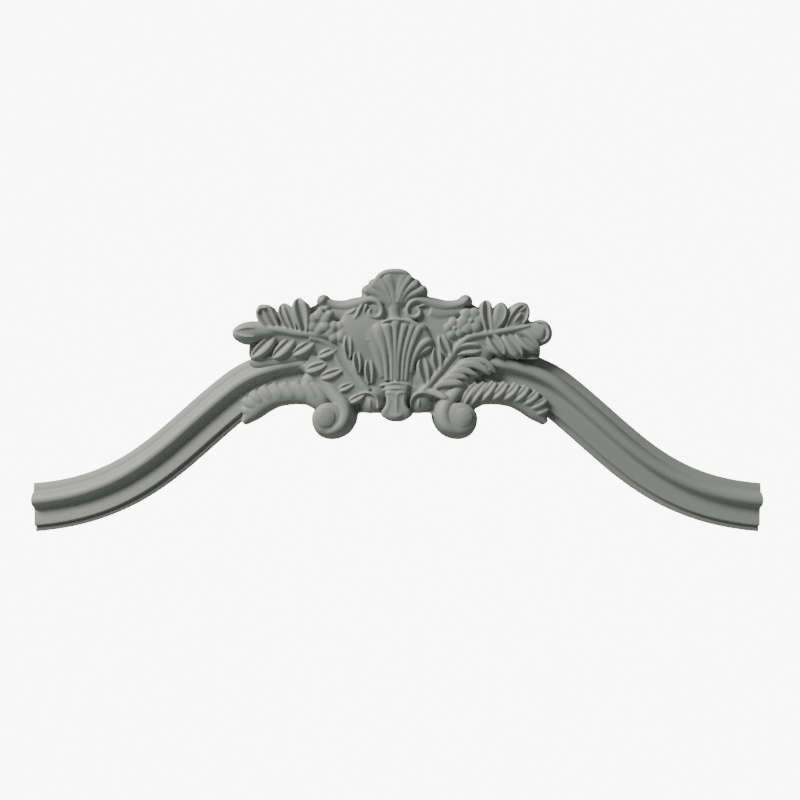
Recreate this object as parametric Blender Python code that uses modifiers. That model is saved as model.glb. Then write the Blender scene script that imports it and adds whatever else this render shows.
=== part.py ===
# Panel moulding: two swept rails that meet under a carved crest of shell, leaves and scrolls.
# It is modelled lying on its flat back, relief up, and stood against the wall at the end.
# Bench axes: X along the wall, Y up the wall, Z out of the wall.

import bmesh
import bpy
from math import cos, pi, radians, sin
from mathutils import Vector
from mathutils.geometry import interpolate_bezier

# Driving dimensions, metres
PANEL_WIDTH = 0.902          # between the middles of the two cut ends
RAIL_DROP = 0.1535           # cut ends below the foot of the shell
RAIL_WIDTH = 0.060
CREST_WIDTH = 0.400          # tip of the outer leaf to the other tip
PROJECTION = 0.037           # highest carving out of the wall
GROUND = 0.013               # flat plate behind the carving

# Rail profile, metres
FILLET_WIDTH = 0.011
FILLET_HEIGHT = 0.0085
TORUS_WIDTH = 0.020
TORUS_HEIGHT = 0.0215
COVE_HEIGHT = 0.0115
LIP_HEIGHT = 0.0140
GROOVE_HEIGHT = 0.0078
BEAD_WIDTH = 0.005
BEAD_HEIGHT = 0.0105
BEAD_EDGE = 0.0090           # height of the bead at the inner edge of the rail

# The crest is drawn on a grid 400 steps wide, its heights on one 37 steps deep.
STEP = CREST_WIDTH / 400
RISE = PROJECTION / 37
SINK = 0.002                 # how far the shapes run below the back before it is cut flat
BED = 0.3 * GROUND           # how high the small shapes start inside the plate
KEPT_FACES = 0.6             # share of the joined carving's faces that is kept

# Cross sections: share of the half width, share of the height above the foot
LEAF = ((-1, 0), (-0.62, 0.95), (0, 0.5), (0.62, 0.95), (1, 0))
RIDGE = ((-1, 0), (-0.55, 0.8), (0, 1), (0.55, 0.8), (1, 0))
FLUTES = ((-1, 0), (-0.82, 0.95), (-0.62, 0.95), (-0.34, 0.4), (-0.08, 1),
          (0.08, 1), (0.34, 0.4), (0.62, 0.95), (0.82, 0.95), (1, 0))
ROUND = tuple((-cos(pi * k / 6), sin(pi * k / 6) ** 0.8) for k in range(7))


def clear_scene():
    for item in list(bpy.data.objects):
        bpy.data.objects.remove(item, do_unlink=True)


def new_collection(name):
    made = bpy.data.collections.new(name)
    bpy.context.scene.collection.children.link(made)
    return made


def add_object(name, mesh, place):
    made = bpy.data.objects.new(name, mesh)
    place.objects.link(made)
    return made


def add_shape(name, cage, place):
    """Keep a closed bmesh as one of the shapes that are joined into the casting."""
    bmesh.ops.recalc_face_normals(cage, faces=cage.faces)
    mesh = bpy.data.meshes.new(name)
    cage.to_mesh(mesh)
    cage.free()
    made = add_object(name, mesh, place)
    made.hide_render = True
    made.display_type = 'WIRE'
    return made


def smooth(rows, steps):
    """Rows along a smooth curve that passes through the given rows."""
    rows = [Vector(row) for row in rows]
    rows = [2 * rows[0] - rows[1], *rows, 2 * rows[-1] - rows[-2]]
    curve = []
    for a, b, c, d in zip(rows, rows[1:], rows[2:], rows[3:]):
        for k in range(steps):
            t = k / steps
            curve.append(0.5 * (2 * b + (c - a) * t + (2 * a - 5 * b + 4 * c - d) * t * t
                                + (3 * b - a - 3 * c + d) * t ** 3))
    curve.append(rows[-2])
    return curve


def carve(name, rows, section, foot, place, steps=1, low=-SINK):
    """Loft a section along grid rows of (x, y, half width, crown height), down to low."""
    line = smooth(rows, steps)
    cage = bmesh.new()
    rings = []
    for k, (x, y, half, crown) in enumerate(line):
        before, after = line[max(k - 1, 0)], line[min(k + 1, len(line) - 1)]
        along = Vector((after[0] - before[0], after[1] - before[1])).normalized()
        side = Vector((along.y, -along.x)) * half
        outline = [(x + side.x * u, y + side.y * u, (foot + (crown - foot) * v) * RISE)
                   for u, v in section]
        outline.append((x + side.x, y + side.y, low))
        outline.append((x - side.x, y - side.y, low))
        rings.append([cage.verts.new((px * STEP, py * STEP, pz)) for px, py, pz in outline])
    for a, b in zip(rings, rings[1:]):
        for k in range(len(a)):
            j = (k + 1) % len(a)
            cage.faces.new((a[k], a[j], b[j], b[k]))
    cage.faces.new(rings[0])
    cage.faces.new(rings[-1])
    return add_shape(name, cage, place)


def leaf(name, base, tip, width, bend, crown, place, foot=10, section=LEAF, low=BED):
    """A blunt leaf with a sunken midrib, bowed to one side by bend."""
    base, tip = Vector(base), Vector(tip)
    run = tip - base
    middle = (base + tip) / 2 + Vector((-run.y, run.x)).normalized() * bend
    rows = []
    for t, share in ((0, 0.3), (0.25, 0.8), (0.55, 1), (0.8, 0.87), (0.94, 0.55), (1, 0.2)):
        spot = (1 - t) ** 2 * base + 2 * t * (1 - t) * middle + t * t * tip
        lift = crown - 3 * (1 - t) ** 2 - 15 * max(0, t - 0.8)
        rows.append((spot.x, spot.y, width / 2 * share, lift))
    return carve(name, rows, section, foot, place, low=low)


def dome(name, centre, radius, top, depth, segments, place):
    """A flattened ball whose highest point is at the given height."""
    cage = bmesh.new()
    bmesh.ops.create_uvsphere(cage, u_segments=segments, v_segments=6, radius=1)
    bmesh.ops.scale(cage, verts=cage.verts, vec=(radius * STEP, radius * STEP, depth * RISE))
    bmesh.ops.translate(cage, verts=cage.verts,
                        vec=(centre[0] * STEP, centre[1] * STEP, (top - depth) * RISE))
    return add_shape(name, cage, place)


def flower(name, centre, radius, top, place):
    """Five round petals about a small centre."""
    for k in range(5):
        angle = radians(90 + 72 * k)
        petal = (centre[0] + cos(angle) * radius * 0.6, centre[1] + sin(angle) * radius * 0.6)
        dome(f"{name}_petal_{k + 1}", petal, radius * 0.44, top, 14, 8, place)
    dome(f"{name}_centre", centre, radius * 0.28, top + 0.5, 9, 6, place)


def plate(name, points, thickness, place):
    """A flat outline, filled and given its thickness."""
    curve = bpy.data.curves.new(name, 'CURVE')
    curve.dimensions = '2D'
    curve.fill_mode = 'BOTH'
    curve.extrude = (thickness + SINK) / 2
    spline = curve.splines.new('POLY')
    spline.points.add(len(points) - 1)
    for point, (x, y) in zip(spline.points, points):
        point.co = (x * STEP, y * STEP, 0, 1)
    spline.use_cyclic_u = True
    drawn = add_object(name, curve, place)
    drawn.location.z = (thickness - SINK) / 2
    return curve_to_shape(drawn, place)


def curve_to_shape(drawn, place):
    """Turn a filled curve into a welded mesh shape."""
    bpy.context.view_layer.update()
    evaluated = drawn.evaluated_get(bpy.context.evaluated_depsgraph_get())
    mesh = bpy.data.meshes.new_from_object(evaluated)
    cage = bmesh.new()
    cage.from_mesh(mesh)
    bmesh.ops.transform(cage, matrix=drawn.matrix_world, verts=cage.verts)
    bmesh.ops.remove_doubles(cage, verts=cage.verts, dist=0.00001)
    name = drawn.name
    bpy.data.objects.remove(drawn, do_unlink=True)
    return add_shape(name, cage, place)


def rail_profile():
    """Points of the moulding's profile, from the outer edge to the inner one."""
    torus_middle = FILLET_WIDTH + TORUS_WIDTH / 2
    cove = FILLET_WIDTH + TORUS_WIDTH + 0.08 * RAIL_WIDTH
    lip = RAIL_WIDTH - BEAD_WIDTH - 0.09 * RAIL_WIDTH
    points = [(0, 0), (0, FILLET_HEIGHT), (FILLET_WIDTH, FILLET_HEIGHT)]
    for k in range(6):
        angle = pi * (1 - k / 5)
        low = FILLET_HEIGHT + 0.002 if k < 3 else COVE_HEIGHT + 0.001
        points.append((torus_middle + TORUS_WIDTH / 2 * cos(angle),
                       low + (TORUS_HEIGHT - low) * sin(angle)))
    points += [(cove, COVE_HEIGHT), (lip, LIP_HEIGHT)]
    points += [(RAIL_WIDTH - BEAD_WIDTH, GROOVE_HEIGHT), (RAIL_WIDTH - BEAD_WIDTH * 0.6, BEAD_HEIGHT),
               (RAIL_WIDTH, BEAD_EDGE), (RAIL_WIDTH, 0)]
    return points


def rail_path():
    """Middle of the rail, from under the leaves to the cut end."""
    start = Vector((105, 17.5)) * STEP
    shoulder = Vector((200, -13.2)) * STEP
    end = Vector((PANEL_WIDTH / 2, -RAIL_DROP))
    first = interpolate_bezier(start, start + Vector((20, 0)) * STEP,
                               shoulder + Vector((-32, 25.2)) * STEP, shoulder, 7)
    run = end.x - shoulder.x
    second = interpolate_bezier(shoulder, shoulder + Vector((0.318, -0.250)) * run,
                                end + Vector((-0.513, 0.0416)) * run, end, 18)
    return first[:-1] + second


def rail(place):
    """The moulding's profile swept along its path, cut square at the end."""
    profile = bpy.data.curves.new("rail_profile", 'CURVE')
    profile.dimensions = '2D'
    points = rail_profile()
    spline = profile.splines.new('POLY')
    spline.points.add(len(points) - 1)
    for point, (across, height) in zip(spline.points, points):
        point.co = (across - RAIL_WIDTH / 2, height if height else -SINK, 0, 1)
    spline.use_cyclic_u = True
    guide = add_object("rail_profile", profile, place)

    path = bpy.data.curves.new("rail", 'CURVE')
    path.dimensions = '2D'
    path.fill_mode = 'BOTH'
    path.bevel_mode = 'OBJECT'
    path.bevel_object = guide
    path.use_fill_caps = True
    spline = path.splines.new('POLY')
    line = rail_path()
    spline.points.add(len(line) - 1)
    for point, spot in zip(spline.points, line):
        point.co = (spot.x, spot.y, 0, 1)
    made = curve_to_shape(add_object("rail", path, place), place)
    bpy.data.objects.remove(guide, do_unlink=True)
    return made


def ground(place):
    """The flat plate that carries the carving."""
    outline = [(-9, -35), (45, -35), (62, -44), (96, -28), (118, -20), (150, -20), (172, -34),
               (186, -24), (178, 31), (177, 47), (172, 62), (166, 82), (150, 84), (142, 90),
               (122, 94), (104, 95), (96, 102), (84, 106), (40, 108), (-9, 112)]
    base = plate("ground", outline, GROUND, place)
    block = [(104, 62), (120, 47), (140, 40), (177, 30), (176, 47), (172, 64), (160, 78), (120, 86)]
    plate("leaf_block", block, 20 * RISE, place)
    return base


def sprig(place):
    """A stem that climbs from the drop to the outer leaves, with small leaves on both sides."""
    stem = [(24, -12, 4.5, 22), (40, -5, 4, 23), (56, 10, 3.4, 24), (70, 29, 3.2, 25),
            (86, 50, 3.2, 26), (100, 58.5, 3.4, 27), (117, 62, 4, 28), (136, 64.5, 3.6, 30),
            (150, 66, 3, 30)]
    carve("stem", stem, ROUND[::2], 10, place, 2, BED)
    inner = (((40, -3), (34, 35), 17, 3), ((51, 7), (50, 44), 16, 3), ((66, 27), (57, 62), 17, 3))
    for k, (base, tip, width, bend) in enumerate(inner):
        leaf(f"inner_leaf_{k + 1}", base, tip, width, bend, 24, place)
    outer = (((39, -10), (64, -20), 12, 3), ((52, 0), (81, -5), 14, 5), ((66, 13), (101, 9), 15, 6),
             ((78, 24), (119, 12), 16, 7), ((82, 41), (108, 41), 14, 3))
    for k, (base, tip, width, bend) in enumerate(outer):
        leaf(f"outer_leaf_{k + 1}", base, tip, width, bend, 24 + k, place)


def leaf_spray(place):
    """The large leaves that end each side of the crest."""
    spray = (("upright", (115, 62), (113, 108), 20, 2, 31), ("second", (124, 65), (135, 102), 21, -4, 31),
             ("third", (138, 66), (165, 98), 28, 4, 32), ("tip", (148, 66), (200, 63), 30, 3, 33),
             ("low", (114, 60), (134, 36), 24, 3, 29), ("low_middle", (131, 62), (150, 32), 20, 2, 29),
             ("low_outer", (148, 62), (170, 31), 24, 3, 29))
    for name, base, tip, width, bend, crown in spray:
        leaf(f"{name}_leaf", base, tip, width, bend, crown, place, 12, low=-SINK)


def shells(place):
    """The small shell on top of the crest and the tall one below it."""
    top = [(0, 78, 11, 24), (0, 94, 10.5, 25), (0, 104, 30, 26), (0, 112, 41, 27),
           (0, 121, 37.5, 28), (0, 129, 30, 28), (0, 136, 20, 27), (0, 140.5, 12, 26), (0, 142, 6, 25)]
    carve("top_shell", top, ROUND, 22, place)
    fan = (((5, 98), (20, 133), 13, -2), ((8, 99), (31, 126), 13, -3), ((11, 99), (38, 117), 12, -4))
    for k, (base, tip, width, bend) in enumerate(fan):
        leaf(f"top_lobe_{k + 1}", base, tip, width, bend, 33 - k, place, 20, RIDGE)
    carve("top_centre", [(0, 84, 8, 27), (0, 100, 9, 31), (0, 118, 12, 34), (0, 130, 14, 34),
                         (0, 136, 10, 30)], FLUTES[1:-1], 24, place)
    bowl = [(0, -2, 19, 16), (0, 10, 22, 18), (0, 25, 27, 20), (0, 40, 40, 22), (0, 52, 46, 24),
            (0, 62, 42, 25), (0, 71, 34, 26), (0, 78, 22, 27), (0, 80, 12, 27)]
    carve("shell", bowl, ROUND, 12, place, low=BED)
    carve("shell_centre", [(0, -3, 9, 25), (0, 15, 8.5, 28), (0, 45, 11, 32), (0, 66, 14, 35),
                           (0, 77, 16, 37), (0, 80, 15, 34)], FLUTES, 18, place)
    lobes = ([(11, 2, 4, 22), (14, 24, 5, 25), (18.5, 44, 7, 29), (23.5, 62, 8, 33),
              (26, 73, 7, 34), (27, 78, 2.5, 29)],
             [(15.5, 4, 4, 20), (19.5, 22, 5, 22), (27, 38, 6.5, 27), (35, 51, 7, 31),
              (41.5, 60, 5.5, 32), (44.5, 64, 2, 27)],
             [(19, 8, 3, 18), (24, 22, 4, 20), (31, 34, 5, 24), (39, 43, 6, 28),
              (46, 49, 5, 29), (49.5, 51.5, 2, 24)])
    for k, rows in enumerate(lobes):
        carve(f"shell_lobe_{k + 1}", rows, RIDGE, 10, place)
    base = [(0, -9, 17, 24), (0, -5, 18, 27), (0, -1, 17, 27), (0, 2, 12, 24)]
    carve("shell_foot", base, ROUND, 14, place)


def drop(place):
    """The fluted bracket that hangs below the shell."""
    rows = [(0, -4, 15, 28), (0, -10, 14, 30), (0, -20, 11.5, 30), (0, -30, 14.5, 32),
            (0, -37, 20, 33), (0, -42, 16, 30), (0, -46, 8, 24)]
    carve("drop", rows, FLUTES, 14, place)


def scrolls(place):
    """The arm that curls against the shell's neck, and the volute that ends the rail."""
    arm = [(91, 106, 7, 27), (80, 99, 7, 25), (62, 97, 8, 26), (45, 99.5, 8.5, 28),
           (30, 102, 8, 30), (19, 100, 6, 30), (13.5, 91, 5, 30), (18, 82, 4.4, 29),
           (27, 80.5, 4.2, 28), (32, 87, 3.6, 27)]
    carve("arm_scroll", arm, ROUND, 10, place, 2)
    dome("arm_eye", (24.5, 90), 6, 29, 16, 10, place)
    dome("arm_end", (89.5, 105.5), 7, 32, 30, 10, place)
    for k, (base, tip) in enumerate((((58, 92), (54, 74)), ((68, 92), (69, 83)))):
        leaf(f"arm_leaf_{k + 1}", base, tip, 11, 2, 24, place)
    limb = [(128, 25.5, 10, 20), (112, 23, 10.5, 21), (97, 12, 11, 23), (83, -1, 12, 26),
            (70, -13.5, 13.5, 30), (61, -26, 15, 33), (58.5, -38, 15, 35), (63, -49.5, 13, 36),
            (73, -57, 11, 36), (84, -59.5, 9.5, 35), (95, -55, 7.5, 34), (99, -44, 5.8, 32),
            (95, -34, 4.6, 29), (86, -31, 3.6, 27)]
    carve("volute", limb, ROUND, 12, place, 2)
    dome("volute_disc", (80, -44), 19, 26, 40, 12, place)
    dome("volute_eye", (85.5, -42), 10, 33, 31, 12, place)


def tie(place):
    """A short ribbon that loops beside the drop."""
    loop = [(29, -9, 3.6, 24), (20, -13, 3.6, 26), (15, -21, 3.4, 26), (19, -28, 3, 24),
            (25, -30, 2.4, 20)]
    carve("tie", loop, ROUND[::2], 10, place, 2)


def leaf_border(place):
    """The ribbed leaf that lines the arch between the volute and the rail."""
    band = [(86, -30, 7, 22), (97, -20, 12, 24), (108, -12.5, 13, 24), (121, -11, 13.5, 23),
            (135, -12, 13.5, 23), (150, -16, 13.5, 22), (165, -25, 13, 21), (178, -37, 10.5, 20),
            (188, -48.5, 4, 18)]
    carve("border", band, ROUND, 11, place)
    line = smooth(band, 4)
    count = 9
    for k in range(count):
        low, high = line[2 + round(k * 3.2)], line[6 + round(k * 3.0)]
        base = (low[0] - 0.22 * low[2], low[1] - 0.92 * low[2])
        tip = (high[0] + 0.35 * high[2], high[1] + 0.9 * high[2])
        leaf(f"border_rib_{k + 1}", base, tip, 11, 2, 27 - 0.5 * k, place, 14, RIDGE)


def wall_block(place):
    """The wall behind the moulding, which cuts its back flat."""
    cage = bmesh.new()
    bmesh.ops.create_cube(cage, size=1)
    bmesh.ops.scale(cage, verts=cage.verts, vec=(2 * PANEL_WIDTH, 2 * PANEL_WIDTH, 1))
    bmesh.ops.translate(cage, verts=cage.verts, vec=(0, 0, -0.5))
    return add_shape("wall", cage, place)


def add_boolean(body, name, operation, other):
    """Join or cut the body with an object, or with all the objects of a collection."""
    step = body.modifiers.new(name, 'BOOLEAN')
    step.operation = operation
    if isinstance(other, bpy.types.Collection):
        step.operand_type = 'COLLECTION'
        step.collection = other
    else:
        step.object = other


def cast(body, shapes, swept_rail):
    """Join the shapes of one half to the plate, add the rail, cut the back flat and mirror it."""
    shapes.objects.unlink(body)
    body.name = "panel_moulding"
    new_collection("panel_moulding").objects.link(body)
    wall = wall_block(new_collection("cutters"))
    add_boolean(body, "carving", 'UNION', shapes)
    add_boolean(body, "flat_crest", 'DIFFERENCE', wall)
    facets = body.modifiers.new("flat_facets", 'DECIMATE')
    facets.decimate_type = 'DISSOLVE'
    facets.angle_limit = radians(4)
    thin = body.modifiers.new("fewer_faces", 'DECIMATE')
    thin.ratio = KEPT_FACES
    add_boolean(body, "rail", 'UNION', swept_rail)
    add_boolean(body, "flat_rail", 'DIFFERENCE', wall)
    halves = body.modifiers.new("both_sides", 'MIRROR')
    halves.use_bisect_axis[0] = True
    halves.bisect_threshold = 0.00001
    halves.merge_threshold = 0.00002

    bpy.context.view_layer.update()
    evaluated = body.evaluated_get(bpy.context.evaluated_depsgraph_get())
    mesh = bpy.data.meshes.new_from_object(evaluated)
    mesh.shade_smooth()
    mesh.set_sharp_from_angle(angle=radians(32))
    body.modifiers.clear()
    body.data = mesh
    body.hide_render = False
    body.display_type = 'TEXTURED'


def primed_foam():
    """Moulded polyurethane foam with a grey factory primer: dull, faintly green."""
    finish = bpy.data.materials.new("primed_polyurethane")
    finish.use_nodes = True
    shader = finish.node_tree.nodes["Principled BSDF"]
    shader.inputs["Base Color"].default_value = (0.26, 0.28, 0.25, 1)
    shader.inputs["Roughness"].default_value = 0.55
    shader.inputs["Metallic"].default_value = 0
    return finish


def main():
    clear_scene()
    shapes = new_collection("carved_shapes")
    moulding = ground(shapes)
    leaf_border(shapes)
    scrolls(shapes)
    sprig(shapes)
    leaf_spray(shapes)
    flower("large_flower", (94, 76), 13.5, 29, shapes)
    flower("small_flower", (73, 69), 11, 26, shapes)
    tie(shapes)
    drop(shapes)
    shells(shapes)
    cast(moulding, shapes, rail(new_collection("rail")))
    moulding.data.materials.clear()
    moulding.data.materials.append(primed_foam())
    moulding.rotation_euler.x = pi / 2      # stood up: the relief faces -Y, the back lies at Y = 0


main()
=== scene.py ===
import bmesh
import bpy
import math
from mathutils import Matrix, Vector
from mathutils.geometry import interpolate_bezier


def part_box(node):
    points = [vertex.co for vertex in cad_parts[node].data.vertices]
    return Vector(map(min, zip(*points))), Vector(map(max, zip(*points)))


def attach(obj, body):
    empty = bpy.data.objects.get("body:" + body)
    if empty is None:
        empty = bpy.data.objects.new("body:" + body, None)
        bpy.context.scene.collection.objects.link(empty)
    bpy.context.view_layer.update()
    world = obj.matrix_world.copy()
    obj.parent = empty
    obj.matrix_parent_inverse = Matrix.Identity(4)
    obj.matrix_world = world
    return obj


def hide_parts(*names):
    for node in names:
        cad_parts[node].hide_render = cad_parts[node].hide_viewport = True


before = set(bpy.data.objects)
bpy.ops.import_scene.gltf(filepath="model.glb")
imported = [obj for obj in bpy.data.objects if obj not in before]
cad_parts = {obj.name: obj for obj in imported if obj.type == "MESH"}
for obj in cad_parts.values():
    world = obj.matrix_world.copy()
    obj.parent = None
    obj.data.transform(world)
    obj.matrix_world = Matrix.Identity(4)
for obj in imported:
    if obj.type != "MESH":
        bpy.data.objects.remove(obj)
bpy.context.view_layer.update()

nodeName = "panel_moulding"
lowCorner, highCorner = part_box(nodeName)
grid = {"top": 142, "depth": 37}   # steps from the origin to the crest's top, and from the wall to its front
mm = highCorner.z / grid["top"]    # one step up or along the wall, close to a millimetre
rise = -lowCorner.y / grid["depth"]        # and one step out of it
sunk = -2                          # steps behind the wall where shapes start, because the flat back is cut last

# The crest is carved lying on its back: x along the wall, y up it, z out of it. It is stood up at the end.


def addNode(tree, kind, settings=None, links=None, **values):
    node = tree.nodes.new(kind)
    for key, value in (settings or {}).items():
        setattr(node, key, value)
    for key, value in values.items():
        node.inputs[key].default_value = value
    for socket, source in (links or {}).items():
        tree.links.new(source, node.inputs[socket])
    return node


def toLinear(hexCode):
    shares = [int(hexCode[k:k + 2], 16) / 255 for k in (1, 3, 5)]
    return tuple(s / 12.92 if s <= 0.04045 else ((s + 0.055) / 1.055) ** 2.4 for s in shares) + (1,)


def through(rows, steps, closed=False):          # rows along a smooth curve through the given rows
    rows = [Vector(row) for row in rows]
    if closed:
        rows = [rows[-1], *rows, rows[0], rows[1]]
    else:
        rows = [2 * rows[0] - rows[1], *rows, 2 * rows[-1] - rows[-2]]
    curve = []
    for a, b, c, d in zip(rows, rows[1:], rows[2:], rows[3:]):
        for k in range(steps):
            t = k / steps
            curve.append(0.5 * (2 * b + (c - a) * t + (2 * a - 5 * b + 4 * c - d) * t * t
                                + (3 * b - a - 3 * c + d) * t ** 3))
    return curve if closed else curve + [rows[-2]]


def sweep(whole, section, places):               # extrude a closed section from place to place
    mesh = bmesh.new()
    verts = [mesh.verts.new((across, 0, height)) for across, height in section]
    edges = [mesh.edges.new(pair) for pair in zip(verts, verts[1:] + verts[:1])]
    firstEdges = edges
    bmesh.ops.transform(mesh, matrix=places[0], verts=verts)
    for here, there in zip(places, places[1:]):
        grown = bmesh.ops.extrude_edge_only(mesh, edges=edges)["geom"]
        verts = [part for part in grown if isinstance(part, bmesh.types.BMVert)]
        edges = [part for part in grown if isinstance(part, bmesh.types.BMEdge)]
        bmesh.ops.transform(mesh, matrix=there @ here.inverted(), verts=verts)
    bmesh.ops.edgeloop_fill(mesh, edges=firstEdges + edges)
    addTo(whole, mesh)


def addTo(whole, mesh):                          # shapes are added whole, as operators slow in a large mesh
    shape = bpy.data.meshes.new("shape")
    mesh.to_mesh(shape)
    mesh.free()
    whole.from_mesh(shape)
    bpy.data.meshes.remove(shape)


def heading(line, k):                            # the turn that sets a section square to the line's k-th spot
    before, after = line[max(k - 1, 0)], line[min(k + 1, len(line) - 1)]
    return math.atan2(after.y - before.y, after.x - before.x) - math.pi / 2


def carve(whole, rows, section, side=1, steps=5):        # rows: x, y, half width, height of the crown
    line = through(rows, steps)
    places = []
    for k, (x, y, half, crown) in enumerate(line):
        places.append(Matrix.Diagonal((side, 1, 1, 1)) @ Matrix.Translation((x, y, sunk))
                      @ Matrix.Rotation(heading(line, k), 4, "Z") @ Matrix.Diagonal((half, 1, crown - sunk, 1)))
    sweep(whole, section, places)


leafShape = (                      # share of the run, share of the width, lift of the crown
    (0, 0.3, -3), (0.12, 0.62, -2), (0.3, 0.88, -1), (0.52, 1, 0), (0.72, 0.9, 0), (0.87, 0.62, -1),
    (0.96, 0.32, -3), (1, 0.1, -6),
)


def leaf(whole, base, tip, width, bend, crown, section, side=1):
    base, tip = Vector(base), Vector(tip)
    run = tip - base
    middle = (base + tip) / 2 + Vector((-run.y, run.x)).normalized() * bend
    rows = []
    for t, share, lift in leafShape:
        spot = (1 - t) ** 2 * base + 2 * t * (1 - t) * middle + t * t * tip
        rows.append((spot.x, spot.y, width / 2 * share, crown + lift))
    carve(whole, rows, section, side, 4)


def button(whole, x, y, radius, top, depth, side=1, segments=20):   # the cap of a flattened ball
    mesh = bmesh.new()
    bmesh.ops.create_uvsphere(mesh, u_segments=segments, v_segments=segments // 2, radius=1,
                              matrix=Matrix.Translation((side * x, y, top - depth))
                              @ Matrix.Diagonal((radius, radius, depth, 1)))
    addTo(whole, mesh)


def plate(whole, outline, height, side=1, steps=4, roll=5):        # a slab with a rolled rim
    mesh = bmesh.new()
    verts = [mesh.verts.new((side * x, y, sunk)) for x, y in through(outline, steps, True)]
    grown = bmesh.ops.extrude_face_region(mesh, geom=[mesh.faces.new(verts)])["geom"]
    verts = [part for part in grown if isinstance(part, bmesh.types.BMVert)]
    bmesh.ops.translate(mesh, verts=verts, vec=(0, 0, height - sunk))
    bmesh.ops.inset_region(mesh, faces=[part for part in grown if isinstance(part, bmesh.types.BMFace)],
                           thickness=roll, depth=0)
    bmesh.ops.translate(mesh, verts=verts, vec=(0, 0, -roll))
    addTo(whole, mesh)


def rounded(points, steps=3):                    # soften a section, but leave its two foot points
    return [points[0], *(tuple(spot) for spot in through(points[1:-1], steps)), points[-1]]


def mirrored(points):                            # the section's left half, foot to middle, and its reflection
    return points + [(-across, height) for across, height in reversed(points) if across]


# Sections, foot to foot: share of the half width, share of the height. Lipped and veined ones are hollow leaves,
# cleft and bean have a groove off the middle, and drafted is a half round with sloping sides.
halfRound = rounded(mirrored([(-1.01, 0), (-1, 0.08), (-0.88, 0.42), (-0.75, 0.68), (-0.58, 0.87), (-0.32, 0.97),
                              (0, 1)]))
pillow = rounded(mirrored([(-1.06, 0), (-1, 0.6), (-0.9, 0.8), (-0.65, 0.93), (-0.3, 0.99), (0, 1)]))
dish = rounded(mirrored([(-1.04, 0), (-1, 0.8), (-0.94, 0.91), (-0.82, 0.96), (-0.45, 0.99), (0, 1)]))
faintRib = rounded(mirrored([(-1.2, 0), (-1.12, 0.92), (-0.95, 0.95), (-0.7, 0.978), (-0.38, 0.995), (0, 1)]))
lowRib = rounded(mirrored([(-1.2, 0), (-1.12, 0.87), (-0.95, 0.915), (-0.7, 0.965), (-0.38, 0.992), (0, 1)]))
lipped = rounded(mirrored([(-1.06, 0), (-1, 0.78), (-0.86, 0.95), (-0.6, 1), (-0.36, 0.95), (-0.16, 0.86),
                           (0, 0.84)]))
veined = rounded(mirrored([(-1.06, 0), (-1, 0.76), (-0.86, 0.93), (-0.7, 0.97), (-0.42, 0.88), (-0.18, 0.93),
                           (0, 0.98)]))
ridged = rounded(mirrored([(-1.1, 0), (-1, 0.7), (-0.8, 0.84), (-0.45, 0.94), (-0.2, 0.99), (0, 1)]))
drafted = rounded(mirrored([(-1.01, 0), (-1, 0.06), (-0.86, 0.34), (-0.71, 0.64), (-0.55, 0.86), (-0.3, 0.97),
                            (0, 1)]))
cleft = rounded([(-1.12, 0), (-1.06, 0.78), (-0.88, 0.9), (-0.62, 0.96), (-0.4, 0.93), (-0.2, 0.925),
                 (0.06, 0.97), (0.36, 1), (0.66, 0.97), (0.9, 0.89), (1.06, 0.76), (1.12, 0)])
softRib = rounded(mirrored([(-1.2, 0), (-1.16, 0.8), (-0.95, 0.87), (-0.68, 0.95), (-0.36, 0.99), (0, 1)]))
bean = rounded([(-1.06, 0), (-1, 0.8), (-0.85, 0.93), (-0.64, 0.97), (-0.42, 0.915), (-0.22, 0.905),
                (0.02, 0.955), (0.36, 1), (0.66, 0.98), (0.88, 0.9), (1, 0.78), (1.06, 0)])
fullLeaf = rounded(mirrored([(-1.05, 0), (-1, 0.76), (-0.88, 0.92), (-0.6, 0.985), (-0.25, 1), (0, 0.99)]))

crest = {
    "voxel": 0.8,                  # mm, the finest detail that the casting keeps
    "softening": 5,                # passes that round its edges as primer does
    "triangles": 180000,           # kept of those that are cast
    "clear": 0.1,                  # mm that its back keeps in front of the rails' back
    "shift": -0.0032,              # metres: its axis stands a little left of the rails' middle
    "sharp": 70,                   # degrees past which an edge is shaded as a crease
}
carving = bmesh.new()

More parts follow.
